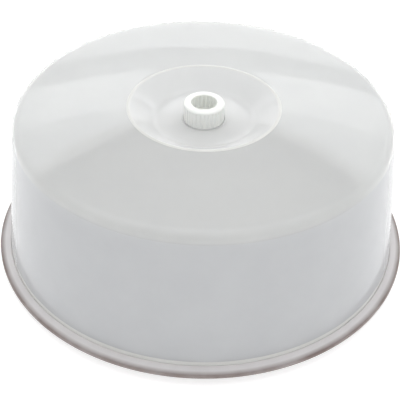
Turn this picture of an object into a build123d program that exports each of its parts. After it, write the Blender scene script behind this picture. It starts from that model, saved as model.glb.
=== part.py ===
"""Round humidity dome on a drip tray, with a rotary vent in the recessed crown.

Four plastic mouldings make the object:
  tray           shallow saucer whose rim carries the dome's foot
  dome           clear thin-walled lid: drafted wall, shoulder, crown, dished recess
  vent_knob      hollow ribbed collar whose windowed web is the vent's shutter
  vent_retainer  cap pressed on the knob's stem under the recess floor

Millimetres, +Z up. The origin is the centre of the face that the tray stands on.
Profiles are drawn as radius and height, and turned about the Z axis.
"""

import os
from math import asin, degrees, radians, tan

from build123d import *

# ---- Dome: driving dimensions ----
DOME_FOOT_RADIUS = 142.1  # outside of the wall at its foot
DOME_WALL_HEIGHT = 103.9  # foot to where the wall and the crown would meet
WALL_DRAFT = 5.14  # lean of the wall, degrees
DOME_WALL = 1.5  # thickness of the moulding
SHOULDER_RADIUS = 7.8
CROWN_RISE = 5.5  # shoulder corner up to the recess bead
CROWN_RADIUS = 1340.0  # very shallow arch of the crown
FOOT_BEAD_WIDTH = 3.0  # thickened edge round the foot
FOOT_BEAD_HEIGHT = 3.2

# ---- Recess in the crown ----
RECESS_RADIUS = 53.7  # outside of the bead round the recess
RECESS_DEPTH = 10.2  # bead's root down to the recess floor
RECESS_FLOOR_RADIUS = 35.0  # where the sloping side and the floor would meet
RECESS_FLOOR_BLEND = 10.0  # fillet between the side and the floor
BEAD_WIDTH = 1.4  # from the bead's root in to its crest
BEAD_RISE = 0.6
BEAD_ROOT_BLEND = 1.0
BEAD_INNER_RADIUS = 0.4  # underside of the bead's crest
GUIDE_RING_WIDTH = 0.8  # low ring that the knob turns inside
GUIDE_RING_HEIGHT = 0.6

# ---- Tray ----
TRAY_WALL = 1.8  # thickness of the moulding
TRAY_DEPTH = 7.4  # inside floor up to the dome's seat
FOOT_RING_HEIGHT = 0.8
FOOT_RING_WIDTH = 15.0
TRAY_SIDE_RUN = 6.5  # how far the side leans out over its height
SEAT_WIDTH = 4.1  # flat ledge that is inside the foot's outer edge
LIP_HEIGHT = 0.8  # low lip that keeps the dome centred
LIP_LAND = 0.8
RIM_WIDTH = 7.5  # sloping band outside the lip
RIM_DROP = 1.8  # fall of the band from the lip to the edge
RIM_EDGE_HEIGHT = 2.3  # turned-down edge
RIM_BLEND = 1.2
TRAY_CORNER_BLEND = 3.0

# ---- Vent ----
KNOB_HEIGHT = 13.4
KNOB_BORE_RADIUS = 9.0
COLLAR_WIDTH = 5.3  # bore's wall out to the grip
KNOB_SKIN = 1.7  # outer and inner skins of the hollow collar
KNOB_TOP_BLEND = 1.6
WEB_THICKNESS = 2.5  # floor of the knob, which shuts the windows
GRIP_RIB_COUNT = 32
GRIP_GROOVE_RADIUS = 0.9
GRIP_GROOVE_DEPTH = 0.4
FLUTE_COUNT = 20
FLUTE_RADIUS = 0.95
FLUTE_DEPTH = 0.55
STEM_RADIUS = 2.0
WINDOW_COUNT = 3
WINDOW_SWEEP = 51.0  # whole angle of each window, less than half their pitch, degrees
RETAINER_RADIUS = 4.0
RETAINER_HEIGHT = 3.4
RETAINER_END = 1.2  # closed end of the cap

# ---- Fits ----
SEAT_CLEARANCE = 0.4  # dome's foot to the tray's lip, radial
STEM_CLEARANCE = 0.05  # stem in the recess floor, radial running fit
GUIDE_CLEARANCE = 0.35  # knob to the guide ring, radial
RETAINER_PRESS = 0.03  # stem in the retainer, radial interference
RIB_MARGIN = 1.0  # plain height left above and below the grip ribs
WINDOW_INNER_MARGIN = 0.4  # retainer's edge to the windows
WINDOW_OUTER_MARGIN = 0.8  # windows to the knob's bore

# ---- Sizes that follow ----
FLOOR_TOP = FOOT_RING_HEIGHT + TRAY_WALL
SEAT_HEIGHT = FLOOR_TOP + TRAY_DEPTH
CORNER_HEIGHT = SEAT_HEIGHT + DOME_WALL_HEIGHT
CORNER_RADIUS = DOME_FOOT_RADIUS - DOME_WALL_HEIGHT * tan(radians(WALL_DRAFT))
RECESS_TOP = CORNER_HEIGHT + CROWN_RISE
RECESS_FLOOR = RECESS_TOP - RECESS_DEPTH
RECESS_UNDERSIDE = RECESS_FLOOR - DOME_WALL
KNOB_RADIUS = KNOB_BORE_RADIUS + COLLAR_WIDTH
WINDOW_INNER = RETAINER_RADIUS + WINDOW_INNER_MARGIN
WINDOW_OUTER = KNOB_BORE_RADIUS - WINDOW_OUTER_MARGIN
WINDOW_WIDTH = WINDOW_OUTER - WINDOW_INNER
WINDOW_RADIUS = (WINDOW_OUTER + WINDOW_INNER) / 2
SHUTTER_TURN = 360 / WINDOW_COUNT / 2  # from shut to fully open

os.makedirs("parts", exist_ok=True)


def rounded_outline(corners):
    """Closed outline through (radius, height, fillet) corners; a fillet of 0 stays sharp."""
    points = [(radius, height) for radius, height, _ in corners]
    return FilletPolyline(*points, radius=[fillet for _, _, fillet in corners], close=True)


def window_ring(turn):
    """Ring of round-ended arc windows, turned by an angle, in the sketch that is open."""
    arc = WINDOW_SWEEP - 2 * degrees(asin(WINDOW_WIDTH / 2 / WINDOW_RADIUS))
    middle = CenterArc((0, 0), WINDOW_RADIUS, -arc / 2, arc, mode=Mode.PRIVATE)
    with PolarLocations(0, WINDOW_COUNT, start_angle=turn):
        SlotArc(middle, WINDOW_WIDTH)


# ---- Tray ----
seat_outer = DOME_FOOT_RADIUS + SEAT_CLEARANCE
seat_inner = DOME_FOOT_RADIUS - SEAT_WIDTH
floor_radius = seat_inner - TRAY_SIDE_RUN
lip_top = SEAT_HEIGHT + LIP_HEIGHT
lip_outer = seat_outer + LIP_LAND
rim_radius = seat_outer + RIM_WIDTH
rim_top = lip_top - RIM_DROP
rim_bottom = rim_top - RIM_EDGE_HEIGHT
edge_blend = TRAY_WALL / 3
lip_blend = LIP_HEIGHT / 3

with BuildPart() as tray:
    with BuildSketch(Plane.XZ):
        with BuildLine():
            rounded_outline(
                [
                    (0, FLOOR_TOP, 0),
                    (floor_radius, FLOOR_TOP, TRAY_CORNER_BLEND),
                    (seat_inner, SEAT_HEIGHT, edge_blend),
                    (seat_outer, SEAT_HEIGHT, 0),
                    (seat_outer, lip_top, lip_blend),
                    (lip_outer, lip_top, RIM_BLEND),
                    (rim_radius, rim_top, RIM_BLEND),
                    (rim_radius, rim_bottom, edge_blend),
                    (rim_radius - TRAY_WALL, rim_bottom, edge_blend),
                    (rim_radius - TRAY_WALL, rim_top - TRAY_WALL / 2, edge_blend),
                    (lip_outer, SEAT_HEIGHT - TRAY_WALL, RIM_BLEND),
                    (seat_inner + TRAY_WALL / 2, SEAT_HEIGHT - TRAY_WALL, RIM_BLEND),
                    (floor_radius + TRAY_WALL / 2, FLOOR_TOP - TRAY_WALL, TRAY_CORNER_BLEND),
                    (0, FLOOR_TOP - TRAY_WALL, 0),
                ]
            )
        make_face()
    revolve(axis=Axis.Z)
    # foot ring, inside the turn of the side
    ring_outer = floor_radius - TRAY_CORNER_BLEND
    with BuildSketch():
        Circle(ring_outer)
        Circle(ring_outer - FOOT_RING_WIDTH, mode=Mode.SUBTRACT)
    extrude(amount=FOOT_RING_HEIGHT)
tray.part.label = "tray"
export_step(tray.part, "parts/tray.step")

# ---- Dome ----
wall_slope = tan(radians(WALL_DRAFT))
bead_crest_radius = RECESS_RADIUS - BEAD_WIDTH
stem_bore = STEM_RADIUS + STEM_CLEARANCE
guide_inner = KNOB_RADIUS + GUIDE_CLEARANCE

with BuildPart() as dome:
    # outer surface from the foot to the stem's bore, then the wall's thickness inside it
    with BuildSketch(Plane.XZ):
        with BuildLine() as surface:
            Line((DOME_FOOT_RADIUS, SEAT_HEIGHT), (CORNER_RADIUS, CORNER_HEIGHT))
            RadiusArc((CORNER_RADIUS, CORNER_HEIGHT), (RECESS_RADIUS, RECESS_TOP), -CROWN_RADIUS)
            Polyline(
                (RECESS_RADIUS, RECESS_TOP),
                (bead_crest_radius, RECESS_TOP + BEAD_RISE),
                (RECESS_FLOOR_RADIUS, RECESS_FLOOR),
                (stem_bore, RECESS_FLOOR),
            )
            # outermost corner first, so the corners still to come keep their places
            blends = [SHOULDER_RADIUS, BEAD_ROOT_BLEND, DOME_WALL + BEAD_INNER_RADIUS, RECESS_FLOOR_BLEND]
            for place, blend in zip((4, 3, 2, 1), blends):
                fillet(surface.vertices().sort_by(Axis.X)[place], blend)
            offset(amount=DOME_WALL, side=Side.LEFT)
        make_face()
        # thickened edge round the foot, level with the seat
        bead_top = SEAT_HEIGHT + FOOT_BEAD_HEIGHT
        bead_slope = FOOT_BEAD_HEIGHT * wall_slope
        with BuildLine():
            Polyline(
                (DOME_FOOT_RADIUS, SEAT_HEIGHT),
                (DOME_FOOT_RADIUS - bead_slope, bead_top),
                (DOME_FOOT_RADIUS - bead_slope - DOME_WALL, bead_top),
                (DOME_FOOT_RADIUS - FOOT_BEAD_WIDTH, bead_top - DOME_WALL),
                (DOME_FOOT_RADIUS - FOOT_BEAD_WIDTH, SEAT_HEIGHT),
                close=True,
            )
        make_face()
    revolve(axis=Axis.Z)
    split(bisect_by=Plane.XY.offset(SEAT_HEIGHT), keep=Keep.TOP)
    # low ring that the knob turns inside
    with BuildSketch(Plane.XY.offset(RECESS_FLOOR)):
        Circle(guide_inner + GUIDE_RING_WIDTH)
        Circle(guide_inner, mode=Mode.SUBTRACT)
    extrude(amount=GUIDE_RING_HEIGHT)
    with BuildSketch(Plane.XY.offset(RECESS_FLOOR)):
        window_ring(0)
    extrude(amount=-DOME_WALL, mode=Mode.SUBTRACT)
dome.part.label = "dome"
export_step(dome.part, "parts/dome.step")

# ---- Vent knob ----
knob_top = RECESS_FLOOR + KNOB_HEIGHT
web_top = RECESS_FLOOR + WEB_THICKNESS
stem_end = RECESS_UNDERSIDE - RETAINER_HEIGHT + RETAINER_END
core_outer = KNOB_RADIUS - KNOB_SKIN
core_inner = KNOB_BORE_RADIUS + KNOB_SKIN

with BuildPart() as vent_knob:
    with BuildSketch(Plane.XY.offset(RECESS_FLOOR)):
        Circle(KNOB_RADIUS)
    extrude(amount=KNOB_HEIGHT)
    fillet(vent_knob.edges().group_by(Axis.Z)[-1], KNOB_TOP_BLEND)
    # grip grooves round the outside
    with BuildSketch(Plane.XY.offset(RECESS_FLOOR + RIB_MARGIN)):
        with PolarLocations(KNOB_RADIUS + GRIP_GROOVE_RADIUS - GRIP_GROOVE_DEPTH, GRIP_RIB_COUNT):
            Circle(GRIP_GROOVE_RADIUS)
    extrude(amount=KNOB_HEIGHT - RIB_MARGIN - KNOB_TOP_BLEND, mode=Mode.SUBTRACT)
    # open bore with flutes down its wall
    with BuildSketch(Plane.XY.offset(web_top)):
        Circle(KNOB_BORE_RADIUS)
        with PolarLocations(KNOB_BORE_RADIUS - FLUTE_RADIUS + FLUTE_DEPTH, FLUTE_COUNT):
            Circle(FLUTE_RADIUS)
    extrude(amount=KNOB_HEIGHT - WEB_THICKNESS - RIB_MARGIN, mode=Mode.SUBTRACT)
    with BuildSketch(Plane.XY.offset(web_top)):
        Circle(KNOB_BORE_RADIUS)
    extrude(amount=KNOB_HEIGHT - WEB_THICKNESS, mode=Mode.SUBTRACT)
    # hollow between the two skins, open below
    with BuildSketch(Plane.XY.offset(RECESS_FLOOR)):
        Circle(core_outer)
        Circle(core_inner, mode=Mode.SUBTRACT)
    extrude(amount=KNOB_HEIGHT - KNOB_SKIN, mode=Mode.SUBTRACT)
    with BuildSketch(Plane.XY.offset(web_top)):
        window_ring(SHUTTER_TURN)
    extrude(amount=-WEB_THICKNESS, mode=Mode.SUBTRACT)
    # stem down through the recess floor into the retainer
    with BuildSketch(Plane.XY.offset(stem_end)):
        Circle(STEM_RADIUS)
    extrude(amount=web_top - stem_end)
vent_knob.part.label = "vent_knob"
export_step(vent_knob.part, "parts/vent_knob.step")

# ---- Vent retainer ----
with BuildPart() as vent_retainer:
    with BuildSketch(Plane.XY.offset(RECESS_UNDERSIDE)):
        Circle(RETAINER_RADIUS)
    extrude(amount=-RETAINER_HEIGHT)
    with BuildSketch(Plane.XY.offset(RECESS_UNDERSIDE)):
        Circle(STEM_RADIUS - RETAINER_PRESS)
    extrude(amount=-(RETAINER_HEIGHT - RETAINER_END), mode=Mode.SUBTRACT)
    fillet(vent_retainer.edges().group_by(Axis.Z)[0], RETAINER_END / 2)
vent_retainer.part.label = "vent_retainer"
export_step(vent_retainer.part, "parts/vent_retainer.step")
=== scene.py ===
"""Looks of a round humidity dome on its drip tray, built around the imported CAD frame.

Each moulding is turned from its own section by one Geometry Nodes lathe, so the clear walls
stay smooth where light bends through them. Lengths are metres in the frame's own axes:
+Z is up, and the origin is the centre of the face that the tray stands on.
"""

import logging
import math
from dataclasses import dataclass, field, replace
from enum import Enum
from typing import Any

import bmesh
import bpy
from mathutils import Euler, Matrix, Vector

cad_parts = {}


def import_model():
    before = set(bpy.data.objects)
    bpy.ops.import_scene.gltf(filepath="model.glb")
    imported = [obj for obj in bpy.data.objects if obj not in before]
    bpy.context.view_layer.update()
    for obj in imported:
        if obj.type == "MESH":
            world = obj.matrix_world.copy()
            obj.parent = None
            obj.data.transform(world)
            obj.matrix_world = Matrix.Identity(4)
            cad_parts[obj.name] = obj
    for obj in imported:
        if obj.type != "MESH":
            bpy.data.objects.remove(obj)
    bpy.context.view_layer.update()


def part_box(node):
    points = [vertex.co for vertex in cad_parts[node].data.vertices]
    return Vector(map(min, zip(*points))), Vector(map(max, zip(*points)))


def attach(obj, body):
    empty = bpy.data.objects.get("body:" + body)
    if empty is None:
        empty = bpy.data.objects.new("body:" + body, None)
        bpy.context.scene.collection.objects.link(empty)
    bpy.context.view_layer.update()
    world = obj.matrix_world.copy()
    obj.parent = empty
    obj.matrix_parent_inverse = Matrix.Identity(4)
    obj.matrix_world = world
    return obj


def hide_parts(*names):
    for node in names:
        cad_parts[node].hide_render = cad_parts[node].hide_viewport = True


MM = 0.001
WELD_DISTANCE = 0.002 * MM
SHARP_ANGLE = math.radians(40)
STRAIGHT_TURN = 1e-4  # radians under which a corner is left as it is
LONGEST_MITRE = 0.2  # least cosine that a moved corner is divided by
RIPPLE_SHARPNESS = 1.6  # power that narrows the crests of grip ribs and flutes
CUTTER_POINTS = 41  # points along a window cutter
CUTTER_TIP = 0.999  # share of the rounded end at which the cutter stops
SCRATCH_TURNS = (0.4, 1.9, 2.7)  # directions of the scratches, in radians
SCRATCH_STRETCH = 0.03  # scale of the noise along a scratch, which draws it out
SCRATCH_WIDTH = 0.003  # distance from the noise's middle that counts as a scratch
SCRATCH_SEED_STEP = 3.1
WORN_SPAN = (0.45, 0.62)  # noise over which scratched patches fade in
MOTTLE_SEED_STEP = 7.0
MOTTLE_SPAN = (0.35, 0.65)
MOTTLE_WEAR = 0.35  # most wear that the mottle gives by itself
CELL_SHARE = 0.6  # weight of the round cells in the satin grain
PAINTED_SHADE_BREAKS = 45.0  # patches in a metre where the painted shade on the low edge is broken
PLASTIC_IOR = 1.49
SPREAD_BY_CHANNEL = (1.0, 0.95, 0.9)
SHEEN_ROUGHNESS = 0.4
LOG = logging.getLogger("humidity_dome")

Point = tuple[float, float]
Colour = tuple[float, float, float]


class Body(Enum):
    """Bodies of the frame that pieces ride on."""

    TRAY = "tray"
    DOME = "dome"
    VENT = "vent"


class Slot(Enum):
    """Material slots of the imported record."""

    TRAY = "tray_plastic"
    CLEAR = "clear_plastic"
    KNOB = "knob_plastic"


class Wave(Enum):
    """How a run of a section is rippled as it is turned."""

    NONE = 0
    GRIP = 1
    FLUTE = 2


class Zone(Enum):
    """Areas of the dome that have their own finish, in the order of its material slots."""

    CROWN = 0
    WALL = 1
    BEAD = 2
    DISH = 3


# ---------------------------------------------------------------- sections


@dataclass(frozen=True)
class Corner:
    """One corner of a section, at a radius and a height, rounded by a blend."""

    radius: float
    height: float
    blend: float = 0.0
    wave: Wave = Wave.NONE

    @property
    def place(self) -> Vector:
        """The corner as a flat vector."""
        return Vector((self.radius, self.height))


@dataclass
class Section:
    """An open or closed outline of a turned moulding, as corners in order.

    Attributes:
        corners: The corners, with their blends.
        closed: True if the last corner runs back to the first.
        run_step: Longest straight piece between two points.
        arc_step: Largest turn between two points of a blend, in radians.
    """

    corners: list[Corner]
    closed: bool = False
    run_step: float = 4 * MM
    arc_step: float = math.radians(7)

    def points(self) -> tuple[list[Point], list[Wave]]:
        """Points along the outline, blends as arcs and long runs divided.

        Returns:
            The points as radius and height, and the wave of the run that each one is on.
        """
        key: list[tuple[Vector, Wave]] = []
        count = len(self.corners)
        for index, corner in enumerate(self.corners):
            inner = self.closed or 0 < index < count - 1
            if not inner or corner.blend <= 0:
                key.append((corner.place, corner.wave))
                continue
            before = self.corners[index - 1].place
            after = self.corners[(index + 1) % count].place
            arc = self._arc(before, corner, after)
            key.extend((place, corner.wave) for place in arc)
        if self.closed:
            key.append(key[0])
        points: list[Point] = [(key[0][0].x, key[0][0].y)]
        waves: list[Wave] = [key[0][1]]
        for (start, _), (end, wave) in zip(key, key[1:]):
            pieces = max(1, math.ceil((end - start).length / self.run_step))
            for piece in range(1, pieces + 1):
                place = start.lerp(end, piece / pieces)
                points.append((place.x, place.y))
                waves.append(wave)
        return points, waves

    def _arc(self, before: Vector, corner: Corner, after: Vector) -> list[Vector]:
        """Places along the blend of one corner.

        Args:
            before: The corner before it.
            corner: The corner that is rounded.
            after: The corner after it.

        Returns:
            Places from one tangent point to the other.
        """
        into = (corner.place - before).normalized()
        out = (after - corner.place).normalized()
        turn = math.atan2(into.x * out.y - into.y * out.x, into.dot(out))
        if abs(turn) < STRAIGHT_TURN:
            return [corner.place]
        tangent = corner.blend * math.tan(abs(turn) / 2)
        start = corner.place - into * tangent
        side = Vector((-into.y, into.x)) * math.copysign(1.0, turn)
        centre = start + side * corner.blend
        by_turn = math.ceil(abs(turn) / self.arc_step)
        by_length = math.ceil(abs(turn) * corner.blend / self.run_step)
        steps = max(2, by_turn, by_length)
        spoke = start - centre
        places = []
        for step in range(steps + 1):
            angle = turn * step / steps
            cos, sin = math.cos(angle), math.sin(angle)
            turned = Vector((spoke.x * cos - spoke.y * sin, spoke.x * sin + spoke.y * cos))
            places.append(centre + turned)
        return places


def offset_corners(corners: list[Corner], distance: float) -> list[Corner]:
    """Moves an open outline sideways, to the left of its direction.

    Args:
        corners: The outline's corners.
        distance: How far to move it.

    Returns:
        The corners of the moved outline, with blends that stay concentric.
    """
    moved = []
    for index, corner in enumerate(corners):
        before = corners[max(index - 1, 0)].place
        after = corners[min(index + 1, len(corners) - 1)].place
        into = (corner.place - before).normalized() if index else (after - corner.place).normalized()
        out = (after - corner.place).normalized() if index < len(corners) - 1 else into
        left = Vector((-into.y - out.y, into.x + out.x)).normalized()
        mitre = left.dot(Vector((-into.y, into.x)))
        place = corner.place + left * (distance / max(mitre, LONGEST_MITRE))
        turn = into.x * out.y - into.y * out.x
        blend = corner.blend - distance * math.copysign(1.0, turn) if corner.blend > 0 else 0.0
        moved.append(Corner(place.x, place.y, max(blend, 0.0), corner.wave))
    return moved


# ---------------------------------------------------------------- geometry nodes


@dataclass
class NodeTree:
    """A node tree under construction, with short calls for its nodes and links."""

    tree: bpy.types.NodeTree

    def add(self, kind: str, settings: dict[str, Any] | None = None, **inputs: Any) -> bpy.types.Node:
        """Adds a node and fills its inputs.

        Args:
            kind: Blender's identifier of the node type.
            settings: Properties to set on the node before its inputs.
            **inputs: Values or output sockets by input name, with _ for a space, or
                by number as in i0, i1.

        Returns:
            The new node.
        """
        node = self.tree.nodes.new(kind)
        for name, value in (settings or {}).items():
            setattr(node, name, value)
        for name, value in inputs.items():
            index = int(name[1:]) if name[0] == "i" and name[1:].isdigit() else None
            socket = node.inputs[index] if index is not None else node.inputs[name.replace("_", " ")]
            if isinstance(value, bpy.types.NodeSocket):
                self.tree.links.new(value, socket)
            else:
                socket.default_value = value
        return node

    def math(self, operation: str, *values: Any) -> bpy.types.NodeSocket:
        """Adds a Math node and returns its output.

        Args:
            operation: The operation's identifier.
            *values: Its operands, numbers or sockets.

        Returns:
            The node's output socket.
        """
        inputs = {f"i{index}": value for index, value in enumerate(values)}
        return self.add("ShaderNodeMath", {"operation": operation}, **inputs).outputs[0]

    def socket(self, name: str, kind: str, is_input: bool = True, default: Any = None) -> None:
        """Declares a named input or output of the tree.

        Args:
            name: The socket's name.
            kind: Blender's identifier of its type.
            is_input: True for an input, False for an output.
            default: The value that an unlinked input has.
        """
        side = "INPUT" if is_input else "OUTPUT"
        made = self.tree.interface.new_socket(name, in_out=side, socket_type=kind)
        if default is not None:
            made.default_value = default


def lathe_tree() -> bpy.types.NodeTree:
    """Geometry Nodes that turn a section about Z, rippling the runs that carry a wave.

    Returns:
        The tree. Its own geometry is the section, a chain of points in the XZ plane
        with the attributes wave_depth and wave_count.
    """
    made = NodeTree(bpy.data.node_groups.new("Lathe", "GeometryNodeTree"))
    made.socket("Section", "NodeSocketGeometry")
    made.socket("Segments", "NodeSocketInt", default=128)
    made.socket("Weld", "NodeSocketFloat", default=WELD_DISTANCE)
    made.socket("Material", "NodeSocketMaterial")
    made.socket("Geometry", "NodeSocketGeometry", is_input=False)
    given = made.add("NodeGroupInput").outputs
    size = made.add("GeometryNodeAttributeDomainSize", {"component": "MESH"}, Geometry=given["Section"])
    rows = size.outputs["Point Count"]
    columns = made.math("ADD", given["Segments"], 1)
    grid = made.add("GeometryNodeMeshGrid", None, Vertices_X=columns, Vertices_Y=rows)
    index = made.add("GeometryNodeInputIndex").outputs[0]
    column = made.math("FLOOR", made.math("DIVIDE", made.math("ADD", index, 0.5), rows))
    row = made.math("SUBTRACT", index, made.math("MULTIPLY", column, rows))
    angle = made.math("DIVIDE", made.math("MULTIPLY", column, math.tau), given["Segments"])

    def sampled(value: bpy.types.NodeSocket, kind: str) -> bpy.types.NodeSocket:
        """The section's value at the row that a grid point belongs to.

        Args:
            value: The value, as the section has it.
            kind: Its data type.

        Returns:
            The output socket.
        """
        node = made.add(
            "GeometryNodeSampleIndex",
            {"data_type": kind},
            Geometry=given["Section"],
            Index=row,
        )
        made.tree.links.new(value, node.inputs["Value"])
        return node.outputs["Value"]

    def attribute(name: str) -> bpy.types.NodeSocket:
        """A float attribute of the section."""
        node = made.add("GeometryNodeInputNamedAttribute", {"data_type": "FLOAT"}, Name=name)
        return node.outputs["Attribute"]

    place = sampled(made.add("GeometryNodeInputPosition").outputs[0], "FLOAT_VECTOR")
    depth = sampled(attribute("wave_depth"), "FLOAT")
    waves = sampled(attribute("wave_count"), "FLOAT")
    split = made.add("ShaderNodeSeparateXYZ", None, Vector=place).outputs
    swing = made.math("COSINE", made.math("MULTIPLY", angle, waves))
    pulse = made.math("POWER", made.math("MULTIPLY_ADD", swing, 0.5, 0.5), RIPPLE_SHARPNESS)
    radius = made.math("MULTIPLY_ADD", pulse, depth, split["X"])
    east = made.math("MULTIPLY", radius, made.math("COSINE", angle))
    north = made.math("MULTIPLY", radius, made.math("SINE", angle))
    turned = made.add("ShaderNodeCombineXYZ", None, X=east, Y=north, Z=split["Z"]).outputs[0]
    moved = made.add("GeometryNodeSetPosition", None, Geometry=grid.outputs["Mesh"], Position=turned)
    welded = made.add("GeometryNodeMergeByDistance", None, Geometry=moved.outputs[0], Distance=given["Weld"])
    real = made.add("GeometryNodeRealizeInstances", None, Geometry=welded.outputs[0])
    smooth = made.add("GeometryNodeSetShadeSmooth", None, Geometry=real.outputs[0])
    dressed = made.add(
        "GeometryNodeSetMaterial",
        None,
        Geometry=smooth.outputs[0],
        Material=given["Material"],
    )
    made.add("NodeGroupOutput", None, Geometry=dressed.outputs[0])
    return made.tree


def window_tree() -> bpy.types.NodeTree:
    """Geometry Nodes that cut a ring of round-ended arc windows through a floor.

    Returns:
        The tree, with the windows' sizes as named inputs.
    """
    made = NodeTree(bpy.data.node_groups.new("Vent windows", "GeometryNodeTree"))
    made.socket("Geometry", "NodeSocketGeometry")
    sizes = {
        "Radius": 6 * MM,
        "Width": 4 * MM,
        "Arc": 0.3,
        "Turn": 0.0,
        "Height": 0.0,
        "Depth": 10 * MM,
    }
    for name, default in sizes.items():
        made.socket(name, "NodeSocketFloat", default=default)
    made.socket("Count", "NodeSocketInt", default=3)
    made.socket("Material", "NodeSocketMaterial")
    made.socket("Geometry", "NodeSocketGeometry", is_input=False)
    given = made.add("NodeGroupInput").outputs
    # a bar from -1 to 1 in length and width, bent to the arc with its ends rounded off
    bar = made.add("GeometryNodeMeshCube", None, Size=(2, 2, 1), Vertices_X=CUTTER_POINTS)
    place = made.add("GeometryNodeInputPosition").outputs[0]
    unit = made.add("ShaderNodeSeparateXYZ", None, Vector=place).outputs
    half_width = made.math("MULTIPLY", given["Width"], 0.5)
    half_arc = made.math("MULTIPLY", made.math("MULTIPLY", given["Arc"], 0.5), given["Radius"])
    along = made.math("MULTIPLY", unit["X"], made.math("ADD", half_arc, half_width))
    beyond = made.math("MAXIMUM", made.math("SUBTRACT", made.math("ABSOLUTE", along), half_arc), 0.0)
    share = made.math("MINIMUM", made.math("DIVIDE", beyond, half_width), CUTTER_TIP)
    round_off = made.math("SQRT", made.math("SUBTRACT", 1.0, made.math("MULTIPLY", share, share)))
    across = made.math("MULTIPLY", made.math("MULTIPLY", unit["Y"], half_width), round_off)
    angle = made.math("DIVIDE", along, given["Radius"])
    reach = made.math("ADD", given["Radius"], across)
    level = made.math("MULTIPLY_ADD", unit["Z"], given["Depth"], given["Height"])
    bent = made.add(
        "ShaderNodeCombineXYZ",
        None,
        X=made.math("MULTIPLY", reach, made.math("COSINE", angle)),
        Y=made.math("MULTIPLY", reach, made.math("SINE", angle)),
        Z=level,
    ).outputs[0]
    cutter = made.add("GeometryNodeSetPosition", None, Geometry=bar.outputs["Mesh"], Position=bent)
    places = made.add("GeometryNodePoints", None, Count=given["Count"])
    step = made.math("DIVIDE", math.tau, given["Count"])
    index = made.add("GeometryNodeInputIndex").outputs[0]
    heading = made.math("ADD", made.math("MULTIPLY", index, step), given["Turn"])
    facing = made.add("ShaderNodeCombineXYZ", None, Z=heading).outputs[0]
    ring = made.add(
        "GeometryNodeInstanceOnPoints",
        None,
        Points=places.outputs[0],
        Instance=cutter.outputs[0],
        Rotation=facing,
    )
    real = made.add("GeometryNodeRealizeInstances", None, Geometry=ring.outputs[0])
    cut = made.add("GeometryNodeMeshBoolean", {"operation": "DIFFERENCE", "solver": "EXACT"})
    made.tree.links.new(given["Geometry"], cut.inputs["Mesh 1"])
    made.tree.links.new(real.outputs[0], cut.inputs["Mesh 2"])
    whole = made.add("GeometryNodeRealizeInstances", None, Geometry=cut.outputs["Mesh"])
    dressed = made.add(
        "GeometryNodeSetMaterial",
        None,
        Geometry=whole.outputs[0],
        Material=given["Material"],
    )
    made.add("NodeGroupOutput", None, Geometry=dressed.outputs[0])
    return made.tree


def add_tree(piece: bpy.types.Object, tree: bpy.types.NodeTree, values: dict[str, Any]) -> None:
    """Puts a Geometry Nodes tree on a piece and sets its named inputs.

    Args:
        piece: The object that gets the modifier.
        tree: The tree.
        values: Value by the input's name.
    """
    modifier = piece.modifiers.new(tree.name, "NODES")
    modifier.node_group = tree
    for item in tree.interface.items_tree:
        if item.item_type == "SOCKET" and item.in_out == "INPUT" and item.name in values:
            modifier[item.identifier] = values[item.name]


@dataclass
class Lathe:
    """Turns sections into finished pieces.

    Attributes:
        turning: The lathe tree.
        windows: The tree that cuts vent windows.
    """

    turning: bpy.types.NodeTree = field(default_factory=lathe_tree)
    windows: bpy.types.NodeTree = field(default_factory=window_tree)

    def turn(
        self,
        name: str,
        section: Section,
        segments: int,
        material: bpy.types.Material,
        ripple: dict[Wave, tuple[float, float]] | None = None,
        windows: dict[str, Any] | None = None,
    ) -> bpy.types.Object:
        """Makes one piece from its section.

        Args:
            name: The piece's name.
            section: Its outline.
            segments: Faces round the axis.
            material: Its finish.
            ripple: Depth and count of each wave that the section names.
            windows: Inputs of the window tree, if windows are cut.

        Returns:
            The piece, with a plain mesh and no modifier.
        """
        points, waves = section.points()
        mesh = bpy.data.meshes.new(name)
        runs = [(index, index + 1) for index in range(len(points) - 1)]
        mesh.from_pydata([(radius, 0.0, height) for radius, height in points], runs, [])
        sizes = ripple or {}
        for attribute, part in (("wave_depth", 0), ("wave_count", 1)):
            layer = mesh.attributes.new(attribute, "FLOAT", "POINT")
            layer.data.foreach_set("value", [sizes.get(wave, (0.0, 0.0))[part] for wave in waves])
        draft = bpy.data.objects.new(name + ".draft", mesh)
        bpy.context.scene.collection.objects.link(draft)
        add_tree(draft, self.turning, {"Segments": segments, "Material": material})
        if windows:
            add_tree(draft, self.windows, {**windows, "Material": material})
        graph = bpy.context.evaluated_depsgraph_get()
        whole = bpy.data.meshes.new_from_object(draft.evaluated_get(graph), depsgraph=graph)
        draft.modifiers.clear()
        bpy.data.objects.remove(draft)
        whole.name = name
        whole.materials.clear()
        whole.materials.append(material)
        whole.polygons.foreach_set("material_index", [0] * len(whole.polygons))
        face_outwards(whole)
        piece = bpy.data.objects.new(name, whole)
        bpy.context.scene.collection.objects.link(piece)
        return piece


def face_outwards(mesh: bpy.types.Mesh) -> None:
    """Welds a closed mesh, turns its faces outwards and smooths all but its sharp edges.

    Args:
        mesh: The mesh to finish.
    """
    work = bmesh.new()
    work.from_mesh(mesh)
    bmesh.ops.remove_doubles(work, verts=work.verts, dist=WELD_DISTANCE)
    bmesh.ops.recalc_face_normals(work, faces=work.faces)
    if work.calc_volume(signed=True) < 0:
        bmesh.ops.reverse_faces(work, faces=work.faces)
    for face in work.faces:
        face.smooth = True
    work.to_mesh(mesh)
    work.free()
    mesh.set_sharp_from_angle(angle=SHARP_ANGLE)
    mesh.update()


# ---------------------------------------------------------------- shader groups


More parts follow.
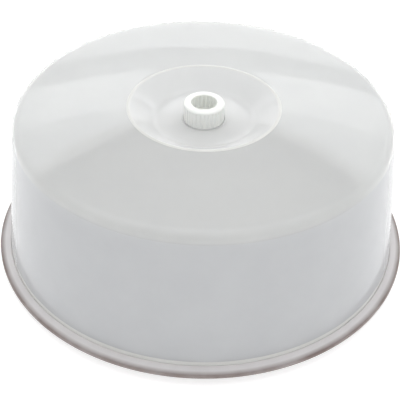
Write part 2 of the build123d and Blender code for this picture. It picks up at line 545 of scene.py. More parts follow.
def scratch_group() -> bpy.types.NodeTree:
    """Fine handling scratches in three crossing directions, as a mask and a height.

    Returns:
        The group, with Density, Amount and Seed as inputs.
    """
    made = NodeTree(bpy.data.node_groups.new("Fine scratches", "ShaderNodeTree"))
    made.socket("Vector", "NodeSocketVector")
    made.socket("Density", "NodeSocketFloat", default=60.0)
    made.socket("Amount", "NodeSocketFloat", default=0.3)
    made.socket("Seed", "NodeSocketFloat", default=0.0)
    made.socket("Mask", "NodeSocketFloat", is_input=False)
    made.socket("Height", "NodeSocketFloat", is_input=False)
    given = made.add("NodeGroupInput").outputs
    masks = []
    for number, turn in enumerate(SCRATCH_TURNS):
        way = made.add(
            "ShaderNodeMapping",
            None,
            Vector=given["Vector"],
            Rotation=(0.3 * number, 0.2, turn),
            Scale=(1.0, SCRATCH_STRETCH, 1.0),
        )
        noise = made.add(
            "ShaderNodeTexNoise",
            {"noise_dimensions": "4D"},
            Vector=way.outputs[0],
            W=made.math("ADD", given["Seed"], number * SCRATCH_SEED_STEP),
            Scale=given["Density"],
            Detail=3.0,
            Roughness=0.6,
        )
        thin = made.math("ABSOLUTE", made.math("SUBTRACT", noise.outputs[0], 0.5))
        masks.append(made.math("LESS_THAN", thin, SCRATCH_WIDTH))
    patch_scale = made.math("MULTIPLY", given["Density"], 0.1)
    patch = made.add("ShaderNodeTexNoise", None, Vector=given["Vector"], Scale=patch_scale)
    worn = made.add(
        "ShaderNodeMapRange",
        None,
        Value=patch.outputs[0],
        From_Min=WORN_SPAN[0],
        From_Max=WORN_SPAN[1],
    )
    either = made.math("MAXIMUM", made.math("MAXIMUM", masks[0], masks[1]), masks[2])
    mask = made.math("MULTIPLY", made.math("MULTIPLY", either, worn.outputs[0]), given["Amount"])
    made.add("NodeGroupOutput", None, Mask=mask, Height=made.math("MULTIPLY", mask, -1.0))
    return made.tree


def flow_group() -> bpy.types.NodeTree:
    """The slight unevenness of a moulded wall: slow waves, and a cloudy mottle.

    Returns:
        The group, with Wave scale, Mottle scale and Seed as inputs.
    """
    made = NodeTree(bpy.data.node_groups.new("Mould flow", "ShaderNodeTree"))
    made.socket("Vector", "NodeSocketVector")
    made.socket("Wave scale", "NodeSocketFloat", default=12.0)
    made.socket("Mottle scale", "NodeSocketFloat", default=40.0)
    made.socket("Seed", "NodeSocketFloat", default=0.0)
    made.socket("Mottle", "NodeSocketFloat", is_input=False)
    made.socket("Height", "NodeSocketFloat", is_input=False)
    given = made.add("NodeGroupInput").outputs
    slow = made.add(
        "ShaderNodeTexNoise",
        {"noise_dimensions": "4D"},
        Vector=given["Vector"],
        W=given["Seed"],
        Scale=given["Wave scale"],
        Detail=1.0,
        Roughness=0.35,
    )
    cloud = made.add(
        "ShaderNodeTexNoise",
        {"noise_dimensions": "4D"},
        Vector=given["Vector"],
        W=made.math("ADD", given["Seed"], MOTTLE_SEED_STEP),
        Scale=given["Mottle scale"],
        Detail=4.0,
        Roughness=0.55,
    )
    made.add("NodeGroupOutput", None, Mottle=cloud.outputs[0], Height=slow.outputs[0])
    return made.tree


def grain_group() -> bpy.types.NodeTree:
    """Spark-eroded satin grain of a mould, as a height.

    Returns:
        The group, with Grain scale as an input.
    """
    made = NodeTree(bpy.data.node_groups.new("Satin grain", "ShaderNodeTree"))
    made.socket("Vector", "NodeSocketVector")
    made.socket("Grain scale", "NodeSocketFloat", default=1500.0)
    made.socket("Height", "NodeSocketFloat", is_input=False)
    given = made.add("NodeGroupInput").outputs
    where, scale = given["Vector"], given["Grain scale"]
    cells = made.add("ShaderNodeTexVoronoi", {"feature": "F1"}, Vector=where, Scale=scale)
    fine = made.add("ShaderNodeTexNoise", None, Vector=where, Scale=scale, Detail=2.0)
    height = made.math("MULTIPLY_ADD", cells.outputs["Distance"], CELL_SHARE, fine.outputs[0])
    made.add("NodeGroupOutput", None, Height=height)
    return made.tree


def painted_shade_group() -> bpy.types.NodeTree:
    """Painted shade on the low outer edge of a round moulding: a darker, broken tone under the rim.

    Returns:
        The group, with Radius, Height, Softness and Seed as inputs.
    """
    made = NodeTree(bpy.data.node_groups.new("Low outer edge", "ShaderNodeTree"))
    made.socket("Vector", "NodeSocketVector")
    made.socket("Radius", "NodeSocketFloat", default=0.1)
    made.socket("Height", "NodeSocketFloat", default=0.01)
    made.socket("Softness", "NodeSocketFloat", default=0.001)
    made.socket("Seed", "NodeSocketFloat", default=0.0)
    made.socket("Mask", "NodeSocketFloat", is_input=False)
    given = made.add("NodeGroupInput").outputs
    split = made.add("ShaderNodeSeparateXYZ", None, Vector=given["Vector"]).outputs
    north_squared = made.math("MULTIPLY", split["Y"], split["Y"])
    squared = made.math("MULTIPLY_ADD", split["X"], split["X"], north_squared)
    beyond = made.math("SUBTRACT", made.math("SQRT", squared), given["Radius"])
    below = made.math("SUBTRACT", given["Height"], split["Z"])
    outward = made.math("DIVIDE", beyond, given["Softness"])
    downward = made.math("DIVIDE", below, given["Softness"])
    nearer = made.math("MINIMUM", outward, downward)
    share = made.math("MINIMUM", made.math("MAXIMUM", nearer, 0.0), 1.0)
    noise = made.add(
        "ShaderNodeTexNoise",
        {"noise_dimensions": "4D"},
        Vector=given["Vector"],
        W=given["Seed"],
        Scale=PAINTED_SHADE_BREAKS,
        Detail=3.0,
    )
    broken = made.add(
        "ShaderNodeMapRange",
        None,
        Value=noise.outputs[0],
        From_Min=0.3,
        From_Max=0.6,
        To_Min=0.7,
    )
    made.add("NodeGroupOutput", None, Mask=made.math("MULTIPLY", share, broken.outputs[0]))
    return made.tree


@dataclass
class Effects:
    """The shader groups that more than one finish uses."""

    # painted shade on the low outer edge of a moulding
    edge: bpy.types.NodeTree = field(default_factory=painted_shade_group)
    scratches: bpy.types.NodeTree = field(default_factory=scratch_group)
    flow: bpy.types.NodeTree = field(default_factory=flow_group)
    grain: bpy.types.NodeTree = field(default_factory=grain_group)


@dataclass(frozen=True)
class Plastic:
    """A moulded plastic finish.

    Attributes:
        name: The material's name.
        pale: Colour where the mottle is lightest.
        deep: Colour where it is deepest.
        roughness: Roughness of the clean surface.
        wear: Added roughness in scratches and mottled patches.
        transmission: Share of light that passes through, 0 to 1.
        subsurface: Share of light that spreads under the surface.
        spread: How far it spreads, in metres.
        sheen: Soft bloom at grazing angles, 0 to 1.
        flow_depth: Depth of the slow waves, in metres.
        flow_scale: How many waves in a metre.
        grain_depth: Depth of the satin grain, in metres.
        scratch_amount: How plain the scratches are.
        scratch_depth: Their depth, in metres.
        seed: Seed of the finish's noise.
        painted_shade_radius: Where the painted shade on the low outer edge starts, in metres from the axis.
        edge_height: The height that the painted shade lies under, in metres.
        painted_shade_softness: Over how much the painted shade fades, in metres.
        painted_shade_colour: The colour of the painted shade.
    """

    name: str
    pale: Colour
    deep: Colour
    roughness: float
    wear: float
    transmission: float
    subsurface: float
    spread: float
    sheen: float
    flow_depth: float
    flow_scale: float
    grain_depth: float
    scratch_amount: float
    scratch_depth: float
    seed: float
    # painted shade on the low outer edge; none unless a finish sets it
    painted_shade_radius: float = 1.0
    edge_height: float = 0.0
    painted_shade_softness: float = 1 * MM
    painted_shade_colour: Colour = (0.5, 0.5, 0.5)

    def build(self, effects: Effects) -> bpy.types.Material:
        """Makes the material.

        Args:
            effects: The shared shader groups.

        Returns:
            The node-based material.
        """
        material = bpy.data.materials.new(self.name)
        material.use_nodes = True
        material.node_tree.nodes.clear()
        made = NodeTree(material.node_tree)
        where = made.add("ShaderNodeTexCoord").outputs["Object"]
        flow = made.add(
            "ShaderNodeGroup",
            {"node_tree": effects.flow},
            Vector=where,
            Wave_scale=self.flow_scale,
            Seed=self.seed,
        )
        scratch = made.add(
            "ShaderNodeGroup",
            {"node_tree": effects.scratches},
            Vector=where,
            Amount=self.scratch_amount,
            Seed=self.seed,
        )
        grain = made.add("ShaderNodeGroup", {"node_tree": effects.grain}, Vector=where)
        mottle = made.add(
            "ShaderNodeMapRange",
            None,
            Value=flow.outputs["Mottle"],
            From_Min=MOTTLE_SPAN[0],
            From_Max=MOTTLE_SPAN[1],
        ).outputs[0]
        colour = made.add("ShaderNodeMix", {"data_type": "RGBA"}, Factor=mottle)
        colour.inputs["A"].default_value = (*self.deep, 1.0)
        colour.inputs["B"].default_value = (*self.pale, 1.0)
        # painted shade: the colour is mixed towards a dark tone on the low outer edge, under the rim
        edge = made.add(
            "ShaderNodeGroup",
            {"node_tree": effects.edge},
            Vector=where,
            Radius=self.painted_shade_radius,
            Height=self.edge_height,
            Softness=self.painted_shade_softness,
            Seed=self.seed,
        )
        shaded = made.add("ShaderNodeMix", {"data_type": "RGBA"}, Factor=edge.outputs["Mask"])
        made.tree.links.new(colour.outputs["Result"], shaded.inputs["A"])
        shaded.inputs["B"].default_value = (*self.painted_shade_colour, 1.0)
        clouded = made.math("MULTIPLY", mottle, MOTTLE_WEAR)
        worn = made.math("MAXIMUM", scratch.outputs["Mask"], clouded)
        rough = made.math("MULTIPLY_ADD", worn, self.wear, self.roughness)
        waves = made.math("MULTIPLY", flow.outputs["Height"], self.flow_depth)
        lines = made.math("MULTIPLY_ADD", scratch.outputs["Height"], self.scratch_depth, waves)
        height = made.math("MULTIPLY_ADD", grain.outputs["Height"], self.grain_depth, lines)
        bump = made.add("ShaderNodeBump", None, Strength=1.0, Distance=1.0, Height=height)
        shader = made.add(
            "ShaderNodeBsdfPrincipled",
            None,
            Base_Color=shaded.outputs["Result"],
            Roughness=rough,
            IOR=PLASTIC_IOR,
            Transmission_Weight=self.transmission,
            Subsurface_Weight=self.subsurface,
            Subsurface_Radius=SPREAD_BY_CHANNEL,
            Subsurface_Scale=self.spread,
            Sheen_Weight=self.sheen,
            Sheen_Roughness=SHEEN_ROUGHNESS,
            Normal=bump.outputs[0],
        )
        made.add("ShaderNodeOutputMaterial", None, Surface=shader.outputs[0])
        return material


CLEAR = Plastic(
    name="clear_moulding",
    pale=(0.96, 0.97, 0.96),
    deep=(0.94, 0.95, 0.945),
    roughness=0.0,
    wear=0.02,
    transmission=0.66,
    subsurface=0.0,
    spread=1 * MM,
    sheen=0.25,
    flow_depth=0.4 * MM,
    flow_scale=9.0,
    grain_depth=0.0,
    scratch_amount=0.0,
    scratch_depth=0.0,
    seed=3.0,
)
# satin finish of the drafted wall; its colour, darker than the crown's, is painted shade on the sides
SATIN_AND_SHADE = replace(
    CLEAR,
    name="satin_wall_with_painted_shade",
    pale=(0.77, 0.782, 0.798),
    deep=(0.745, 0.758, 0.775),
    roughness=0.15,
    wear=0.08,
    transmission=0.54,
    sheen=0.0,
    flow_depth=0.05 * MM,
    grain_depth=0.004 * MM,
    seed=4.0,
)
DISH = replace(
    CLEAR,
    name="milky_dish_moulding",
    pale=(0.965, 0.972, 0.968),
    deep=(0.95, 0.957, 0.955),
    transmission=0.54,
    seed=6.0,
)
THICK = replace(
    CLEAR,
    name="blushed_thick_moulding",
    pale=(0.985, 0.985, 0.96),
    deep=(0.97, 0.97, 0.945),
    roughness=0.2,
    transmission=0.5,
    sheen=0.0,
    flow_depth=0.02 * MM,
    seed=5.0,
)
TRAY_PLASTIC = Plastic(
    name="natural_tray_moulding",
    pale=(0.61, 0.594, 0.598),
    deep=(0.565, 0.548, 0.553),
    roughness=0.34,
    wear=0.2,
    transmission=0.0,
    subsurface=0.25,
    spread=1 * MM,
    sheen=0.0,
    flow_depth=0.1 * MM,
    flow_scale=7.0,
    grain_depth=0.006 * MM,
    scratch_amount=0.6,
    scratch_depth=0.01 * MM,
    seed=11.0,
    # painted shade: a dark, warm colour on the rim's low outer edge, where it is in shade
    painted_shade_radius=146.0 * MM,
    edge_height=12.5 * MM,
    painted_shade_softness=3.2 * MM,
    painted_shade_colour=(0.18, 0.14, 0.128),
)
KNOB_PLASTIC = Plastic(
    name="translucent_knob_moulding",
    pale=(0.955, 0.972, 0.932),
    deep=(0.938, 0.958, 0.915),
    roughness=0.14,
    wear=0.1,
    transmission=0.12,
    subsurface=0.35,
    spread=2.5 * MM,
    sheen=0.0,
    flow_depth=0.02 * MM,
    flow_scale=90.0,
    grain_depth=0.003 * MM,
    scratch_amount=0.4,
    scratch_depth=0.006 * MM,
    seed=23.0,
)


# ---------------------------------------------------------------- the object


@dataclass
class Tray:
    """The drip tray: floor, side, seat for the dome, lip, sloping band and foot ring."""

    wall: float = 1.8 * MM
    foot_ring_height: float = 0.8 * MM
    foot_ring_width: float = 15.0 * MM
    side_run: float = 6.5 * MM
    seat_width: float = 4.1 * MM
    seat_gap: float = 0.08 * MM
    lip_height: float = 0.8 * MM
    lip_land: float = 0.8 * MM
    rim_drop: float = 1.8 * MM
    edge_height: float = 2.3 * MM
    edge_blend: float = 0.6 * MM
    rim_blend: float = 1.2 * MM
    corner_blend: float = 3.0 * MM
    gate_radius: float = 1.6 * MM
    gate_height: float = 0.35 * MM
    segments: int = 288

    def section(self, rim: float, foot: float, seat: float) -> Section:
        """The tray's closed section.

        Args:
            rim: Radius of the tray's rim.
            foot: Outside radius of the dome's foot.
            seat: Height of the ledge that the dome stands on.

        Returns:
            The section, from the middle of the floor round to the middle of the underside.
        """
        floor = self.foot_ring_height + self.wall
        seat_outer = foot + self.seat_gap
        seat_inner = foot - self.seat_width
        floor_radius = seat_inner - self.side_run
        lip_top = seat + self.lip_height
        lip_outer = seat_outer + self.lip_land
        rim_top = lip_top - self.rim_drop
        rim_bottom = rim_top - self.edge_height
        ring_outer = floor_radius - self.corner_blend
        ring_inner = ring_outer - self.foot_ring_width
        under = self.foot_ring_height
        return Section(
            [
                Corner(0.0, floor),
                Corner(floor_radius, floor, self.corner_blend),
                Corner(seat_inner, seat, self.edge_blend),
                Corner(seat_outer, seat, self.edge_blend / 3),
                Corner(seat_outer, lip_top, self.edge_blend / 4),
                Corner(lip_outer, lip_top, self.rim_blend),
                Corner(rim, rim_top, self.rim_blend),
                Corner(rim, rim_bottom, self.edge_blend),
                Corner(rim - self.wall, rim_bottom, self.edge_blend),
                Corner(rim - self.wall, rim_top - self.wall / 2, self.edge_blend),
                Corner(lip_outer, seat - self.wall, self.rim_blend),
                Corner(seat_inner + self.wall / 2, seat - self.wall, self.rim_blend),
                Corner(floor_radius + self.wall / 2, under, self.corner_blend),
                Corner(ring_outer, under),
                Corner(ring_outer, 0.0, self.foot_ring_height / 4),
                Corner(ring_inner, 0.0, self.foot_ring_height / 4),
                Corner(ring_inner, under),
                Corner(self.gate_radius, under),
                Corner(self.gate_radius, under - self.gate_height, self.gate_height / 2),
                Corner(0.0, under - self.gate_height),
            ],
            run_step=6 * MM,
        )

    def build(self, lathe: Lathe, material: bpy.types.Material) -> bpy.types.Object:
        """Turns the tray and puts it on its body.

        Args:
            lathe: The lathe.
            material: The tray's finish.

        Returns:
            The finished piece.
        """
        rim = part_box("tray")[1].x
        low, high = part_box("dome")
        piece = lathe.turn("drip_tray", self.section(rim, high.x, low.z), self.segments, material)
        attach(piece, Body.TRAY.value)
        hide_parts("tray")
        return piece


@dataclass
class Dome:
    """The clear dome: foot, drafted wall, shoulder, shallow crown, bead and dished recess."""

    wall: float = 1.5 * MM
    draft: float = math.radians(5.14)
    crown_rise: float = 5.5 * MM
    crown_sag: float = 0.586 * MM
    crown_blend: float = 1100 * MM
    shoulder_blend: float = 7.8 * MM
    foot_bead_width: float = 3.0 * MM
    foot_bead_height: float = 3.2 * MM
    foot_band: float = 5.0 * MM
    recess_radius: float = 53.7 * MM
    recess_depth: float = 10.2 * MM
    recess_floor_radius: float = 35.0 * MM
    recess_floor_blend: float = 10.0 * MM
    bead_width: float = 1.4 * MM
    bead_rise: float = 0.6 * MM
    bead_root_blend: float = 1.0 * MM
    bead_inner_blend: float = 0.4 * MM
    guide_gap: float = 0.35 * MM
    guide_width: float = 0.8 * MM
    guide_height: float = 0.6 * MM
    stem_bore: float = 2.05 * MM
    satin_share: float = 0.9  # how far under the shoulder's corner the satin finish and its painted shade end, in blends
    segments: int = 320

    def outside(self, foot: float, seat: float, recess_floor: float, knob: float) -> list[Corner]:
        """Corners of the outer surface, from the foot in to the stem's bore.

        Args:
            foot: Outside radius of the foot.
            seat: Height of the foot.
            recess_floor: Height of the recess floor.
            knob: Radius of the vent knob.

        Returns:
            The corners in order.
        """
        recess_top = recess_floor + self.recess_depth
        shoulder_height = recess_top - self.crown_rise
        shoulder_radius = foot - (shoulder_height - seat) * math.tan(self.draft)
        middle_radius = (shoulder_radius + self.recess_radius) / 2
        middle_height = (shoulder_height + recess_top) / 2 + 2 * self.crown_sag
        guide_inner = knob + self.guide_gap
        guide_outer = guide_inner + self.guide_width
        guide_blend = self.guide_width / 4
        crest_radius = self.recess_radius - self.bead_width
        crest_blend = self.wall + self.bead_inner_blend
        return [
            Corner(foot, seat),
            Corner(shoulder_radius, shoulder_height, self.shoulder_blend),
            Corner(middle_radius, middle_height, self.crown_blend),
            Corner(self.recess_radius, recess_top, self.bead_root_blend),
            Corner(crest_radius, recess_top + self.bead_rise, crest_blend),
            Corner(self.recess_floor_radius, recess_floor, self.recess_floor_blend),
            Corner(guide_outer, recess_floor, guide_blend),
            Corner(guide_outer, recess_floor + self.guide_height, guide_blend),
            Corner(guide_inner, recess_floor + self.guide_height, guide_blend),
            Corner(guide_inner, recess_floor, guide_blend),
            Corner(self.stem_bore, recess_floor),
        ]

    def section(self, foot: float, seat: float, recess_floor: float, knob: float) -> Section:
        """The dome's closed section.

        Args:
            foot: Outside radius of the foot.
            seat: Height of the foot.
            recess_floor: Height of the recess floor.
            knob: Radius of the vent knob.

        Returns:
            The section, up the outside, back down the inside and round the foot's bead.
        """
        outer = self.outside(foot, seat, recess_floor, knob)
        guide_corners = 4
        plain = [*outer[: -guide_corners - 1], outer[-1]]
        inner = offset_corners(plain, self.wall)
        slope = math.tan(self.draft)
        bead_inner = foot - self.foot_bead_width
        bead_top = seat + self.foot_bead_height
        wall_inner = foot - self.foot_bead_height * slope - self.wall / math.cos(self.draft)
        blend = self.wall / 3
        foot_bead = [
            Corner(wall_inner, bead_top, blend),
            Corner(bead_inner, bead_top - self.wall, blend),
            Corner(bead_inner, seat, blend),
        ]
        foot_corner = Corner(foot, seat, blend / 2)
        corners = [foot_corner, *outer[1:], *reversed(inner[1:]), *foot_bead]
        return Section(corners, closed=True, run_step=3.5 * MM)

    def zones(
        self,
        piece: bpy.types.Object,
        finishes: tuple[bpy.types.Material, bpy.types.Material, bpy.types.Material],
        seat: float,
        recess_floor: float,
    ) -> None:
        """Gives the wall a satin finish, darker in colour as painted shade, the beads a whiter one and the
        dish a milkier one.

        Args:
            piece: The turned dome, which has the polished finish.
            finishes: The finishes of the wall (satin, with painted shade), the thick beads and the dished
                recess.
            seat: Height of the foot.
            recess_floor: Height of the recess floor.
        """
        for finish in finishes:
            piece.data.materials.append(finish)
        recess_top = recess_floor + self.recess_depth
        foot_top = seat + self.foot_band
        wall_top = recess_top - self.crown_rise - self.shoulder_blend * self.satin_share
        bead_inner = self.recess_radius - self.bead_width - self.wall / 2
        bead_outer = self.recess_radius + self.bead_root_blend / 2
        for face in piece.data.polygons:
            radius = math.hypot(face.center.x, face.center.y)
            on_bead = bead_inner < radius < bead_outer and face.center.z > recess_top - self.wall
            if on_bead or face.center.z < foot_top:
                face.material_index = Zone.BEAD.value
            elif radius > self.recess_radius and face.center.z < wall_top:
                face.material_index = Zone.WALL.value
            elif radius < bead_inner:
                face.material_index = Zone.DISH.value

    def build(
        self,
        lathe: Lathe,
        material: bpy.types.Material,
        finishes: tuple[bpy.types.Material, bpy.types.Material, bpy.types.Material],
        windows: dict[str, Any],
    ) -> bpy.types.Object:
        """Turns the dome and puts it on its body.

        Args:
            lathe: The lathe.
            material: The polished finish of the crown.
            finishes: The finishes of the wall (satin, with painted shade), the thick beads and the dished
                recess.
            windows: Sizes of the vent windows, without their turn and height.

        Returns:
            The finished piece.
        """
        low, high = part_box("dome")
        recess_floor = recess_floor_height(self)
        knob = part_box("vent_knob")[1].x
        cut = {**windows, "Turn": 0.0, "Height": recess_floor - self.wall / 2}
        section = self.section(high.x, low.z, recess_floor, knob)
        piece = lathe.turn("clear_dome", section, self.segments, material, windows=cut)
        self.zones(piece, finishes, low.z, recess_floor)
        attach(piece, Body.DOME.value)
        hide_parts("dome")
        return piece


def recess_floor_height(dome: Dome) -> float:
    """Height of the recess floor, one wall above the retainer's top."""
    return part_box("vent_retainer")[1].z + dome.wall


@dataclass
class Vent:
    """The vent: a hollow ribbed collar on a stem, and the cap that keeps it in the dome."""

    bore: float = 9.0 * MM
    skin: float = 1.7 * MM
    top_blend: float = 1.6 * MM
    web: float = 2.5 * MM
    rib_margin: float = 1.0 * MM
    stem: float = 2.0 * MM
    grip: tuple[float, int] = (-0.4 * MM, 32)
    flute: tuple[float, int] = (0.75 * MM, 20)
    window_count: int = 3
    window_sweep: float = math.radians(51)
    window_inner_margin: float = 0.4 * MM
    window_outer_margin: float = 0.8 * MM
    window_cut: float = 6 * MM
    retainer_end: float = 1.2 * MM
    segments: int = 640
    retainer_segments: int = 80

    def windows(self) -> dict[str, Any]:
        """Sizes of the vent windows, shared by the knob's web and the recess floor.

        Returns:
            Inputs of the window tree by name, without their turn and height.
        """
        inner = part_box("vent_retainer")[1].x + self.window_inner_margin
        outer = self.bore - self.window_outer_margin
        width, radius = outer - inner, (outer + inner) / 2
        arc = self.window_sweep - 2 * math.asin(width / 2 / radius)
        return {
            "Radius": radius,
            "Width": width,
            "Arc": arc,
            "Count": self.window_count,
            "Depth": self.window_cut,
        }

    def section(self, base: float) -> Section:
        """The knob's section, from the middle of its web round to the stem's end.

        Args:
            base: Height of the recess floor that the knob stands on.

        Returns:
            The section.
        """
        low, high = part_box("vent_knob")
        radius, top, web_top = high.x, high.z, base + self.web
        fine = self.skin / 6
        low_rib, high_rib = base + self.rib_margin, top - self.top_blend
        core_outer, core_inner = radius - self.skin, self.bore + self.skin
        core_top = top - self.skin
        return Section(
            [
                Corner(0.0, web_top),
                Corner(self.bore, web_top, fine),
                Corner(self.bore, web_top + self.rib_margin),
                Corner(self.bore, web_top + 1.5 * self.rib_margin, 0.0, Wave.FLUTE),
                Corner(self.bore, top - 1.5 * self.rib_margin, 0.0, Wave.FLUTE),
                Corner(self.bore, top - self.rib_margin),
                Corner(self.bore, top, 2 * fine),
                Corner(radius, top, self.top_blend),
                Corner(radius, high_rib - self.rib_margin / 2, 0.0, Wave.GRIP),
                Corner(radius, low_rib + self.rib_margin / 2, 0.0, Wave.GRIP),
                Corner(radius, low_rib),
                Corner(radius, base, fine),
                Corner(core_outer, base, fine),
                Corner(core_outer, core_top, fine),
                Corner(core_inner, core_top, fine),
                Corner(core_inner, base, fine),
                Corner(self.stem, base),
                Corner(self.stem, low.z),
                Corner(0.0, low.z),
            ],
            run_step=1.2 * MM,
            arc_step=math.radians(12),
        )

    def build(self, lathe: Lathe, material: bpy.types.Material, base: float) -> list[bpy.types.Object]:
        """Turns the knob and the retainer and puts them on their body.

        Args:
            lathe: The lathe.
            material: The finish of both.
            base: Height of the recess floor.

        Returns:
            The knob and the retainer.
        """
        ripple = {
            Wave.GRIP: (self.grip[0], float(self.grip[1])),
            Wave.FLUTE: (self.flute[0], float(self.flute[1])),
        }
        half_pitch = math.pi / self.window_count
        cut = {**self.windows(), "Turn": half_pitch, "Height": base + self.web / 2}
        knob = lathe.turn("ribbed_vent_knob", self.section(base), self.segments, material, ripple, cut)
        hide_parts("vent_knob")
        low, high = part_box("vent_retainer")
        cap = Section(
            [
                Corner(0.0, low.z),
                Corner(high.x, low.z, self.retainer_end / 2),
                Corner(high.x, high.z, self.retainer_end / 6),
                Corner(self.stem, high.z),
                Corner(self.stem, low.z + self.retainer_end),
                Corner(0.0, low.z + self.retainer_end),
            ],
            run_step=1 * MM,
        )
        retainer = lathe.turn("press_on_retainer", cap, self.retainer_segments, material)
        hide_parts("vent_retainer")
        for piece in (knob, retainer):
            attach(piece, Body.VENT.value)
        return [knob, retainer]


# ---------------------------------------------------------------- studio


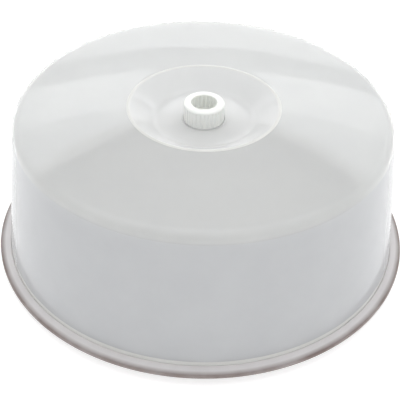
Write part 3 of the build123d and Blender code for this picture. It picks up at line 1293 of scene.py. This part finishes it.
@dataclass
class Studio:
    """Pale floor, a world like a light tent, and the camera.

    Attributes:
        floor_size: Side of the floor, in metres.
        floor_colour: Its colour.
        floor_roughness: Its roughness.
        floor_glow: Strength of its own light, as of a lit backdrop.
        sky: The tent's brightness at each elevation, which is in degrees.
        panel_depth: How much the duller panel takes from the tent's brightness, 0 to 1.
        panel_edge: Span of its gabled lower edge, as the upward part of a direction.
        panel_slope: Slope of the gable to each side.
        panel_top: Span over which it fades out overhead.
        panel_front: Span over which it fades in, as the depthwise part of a direction.
        sky_side: How much brighter the tent is on the right.
        sky_depth: How much brighter it is behind the object.
        camera_elevation: How high the camera looks down from, in radians.
        camera_distance: How far it is from its aim, in metres.
        camera_roll: Its turn about its line of sight, in radians.
        aim: Where it looks.
        lens: Its focal length, in millimetres.
        sensor_width: Width of its sensor, in millimetres.
    """

    floor_size: float = 12.0
    floor_colour: Colour = (0.7, 0.7, 0.7)
    floor_roughness: float = 0.9
    floor_glow: float = 0.48
    sky: tuple[tuple[float, float], ...] = (
        (0.0, 0.98),
        (23.8, 1.25),
        (24.4, 0.75),
        (27.7, 0.95),
        (28.0, 1.6),
        (33.7, 1.6),
        (34.0, 1.2),
        (36.5, 1.12),
        (42.0, 1.1),
        (55.0, 1.3),
        (90.0, 1.6),
    )
    panel_depth: float = 0.42
    panel_edge: tuple[float, float] = (0.556, 0.559)
    panel_slope: float = 0.425
    panel_top: tuple[float, float] = (0.77, 0.88)
    panel_front: tuple[float, float] = (0.0, 0.2)
    sky_side: float = 0.06
    sky_depth: float = 0.3
    camera_elevation: float = math.radians(38.84)
    camera_distance: float = 0.7878
    camera_roll: float = math.radians(1.446)
    aim: tuple[float, float, float] = (-0.0012, 0.0, 0.0354)
    lens: float = 95.4
    sensor_width: float = 36.0

    def floor(self) -> bpy.types.Object:
        """Makes the floor, which is not part of the object.

        Returns:
            The floor.
        """
        half = self.floor_size / 2
        mesh = bpy.data.meshes.new("floor")
        corners = [(-half, -half, 0), (half, -half, 0), (half, half, 0), (-half, half, 0)]
        mesh.from_pydata(corners, [], [(0, 1, 2, 3)])
        material = bpy.data.materials.new("floor_paint")
        material.use_nodes = True
        shader = material.node_tree.nodes["Principled BSDF"]
        shader.inputs["Base Color"].default_value = (*self.floor_colour, 1.0)
        shader.inputs["Roughness"].default_value = self.floor_roughness
        shader.inputs["Emission Color"].default_value = (1.0, 1.0, 1.0, 1.0)
        shader.inputs["Emission Strength"].default_value = self.floor_glow
        mesh.materials.append(material)
        floor = bpy.data.objects.new("floor", mesh)
        bpy.context.scene.collection.objects.link(floor)
        return floor

    @staticmethod
    def step(made: NodeTree, value: bpy.types.NodeSocket, span: tuple[float, float]) -> bpy.types.NodeSocket:
        """A rise from 0 to 1 as a value crosses a span.

        Args:
            made: The tree that it is made in.
            value: The value.
            span: Where the rise starts and ends.

        Returns:
            The output socket.
        """
        rise = made.add("ShaderNodeMapRange", None, Value=value, From_Min=span[0], From_Max=span[1])
        return rise.outputs[0]

    def light(self) -> None:
        """Sets the world: a light tent with soft bands, and a duller panel behind the object."""
        world = bpy.data.worlds.new("studio")
        world.use_nodes = True
        world.node_tree.nodes.clear()
        made = NodeTree(world.node_tree)
        outward = made.add("ShaderNodeTexCoord").outputs["Generated"]
        way = made.add("ShaderNodeSeparateXYZ", None, Vector=outward).outputs
        ramp = made.add("ShaderNodeValToRGB", None, Fac=way["Z"])
        elements = ramp.color_ramp.elements
        elements.remove(elements[0])
        for number, (elevation, brightness) in enumerate(self.sky):
            place = math.sin(math.radians(elevation))
            element = elements[0] if number == 0 else elements.new(place)
            element.position = place
            element.color = (brightness, brightness, brightness, 1.0)
        side = made.math("MULTIPLY_ADD", way["X"], self.sky_side, 1.0)
        tent = made.math("MULTIPLY_ADD", way["Y"], self.sky_depth, side)
        # a duller gabled panel, high behind the object
        sideways = made.math("ABSOLUTE", way["X"])
        gable = made.math("MULTIPLY_ADD", sideways, -self.panel_slope, way["Z"])
        above = self.step(made, gable, self.panel_edge)
        behind = self.step(made, way["Y"], self.panel_front)
        overhead = self.step(made, way["Z"], self.panel_top)
        panel = made.math("MULTIPLY", above, behind)
        shade = made.math("MULTIPLY", panel, made.math("SUBTRACT", 1.0, overhead))
        left_over = made.math("MULTIPLY_ADD", shade, -self.panel_depth, 1.0)
        strength = made.math("MULTIPLY", tent, left_over)
        sky = made.add("ShaderNodeBackground", None, Color=ramp.outputs[0], Strength=strength)
        made.add("ShaderNodeOutputWorld", None, Surface=sky.outputs[0])
        bpy.context.scene.world = world
        bpy.context.scene.view_settings.view_transform = "Standard"

    def camera(self) -> bpy.types.Object:
        """Makes the camera and sets it as the scene's.

        Returns:
            The camera.
        """
        data = bpy.data.cameras.new("camera")
        data.lens = self.lens
        data.sensor_width = self.sensor_width
        camera = bpy.data.objects.new("camera", data)
        back = Vector((0.0, -math.cos(self.camera_elevation), math.sin(self.camera_elevation)))
        camera.location = Vector(self.aim) + back * self.camera_distance
        tilt = Euler((math.pi / 2 - self.camera_elevation, 0.0, 0.0)).to_matrix()
        roll = Euler((0.0, 0.0, self.camera_roll)).to_matrix()
        camera.rotation_euler = (tilt @ roll).to_euler()
        bpy.context.scene.collection.objects.link(camera)
        bpy.context.scene.camera = camera
        return camera


def report(piece: bpy.types.Object) -> None:
    """Logs a piece's name and how many faces it has."""
    LOG.info("%s: %d faces", piece.name, len(piece.data.polygons))


def main() -> None:
    """Builds the pieces in order, then the studio."""
    logging.basicConfig(level=logging.INFO, format="%(message)s")
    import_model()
    effects, lathe = Effects(), Lathe()
    # the satin wall finish carries painted shade in its darker colour
    finishes = (CLEAR, SATIN_AND_SHADE, THICK, DISH, TRAY_PLASTIC, KNOB_PLASTIC)
    clear, satin, thick, dish, tray_finish, knob_finish = (finish.build(effects) for finish in finishes)
    report(Tray().build(lathe, tray_finish))
    dome, vent = Dome(), Vent()
    report(dome.build(lathe, clear, (satin, thick, dish), vent.windows()))
    for piece in vent.build(lathe, knob_finish, recess_floor_height(dome)):
        report(piece)
    studio = Studio()
    studio.floor()
    studio.light()
    studio.camera()


if __name__ == "__main__":
    main()
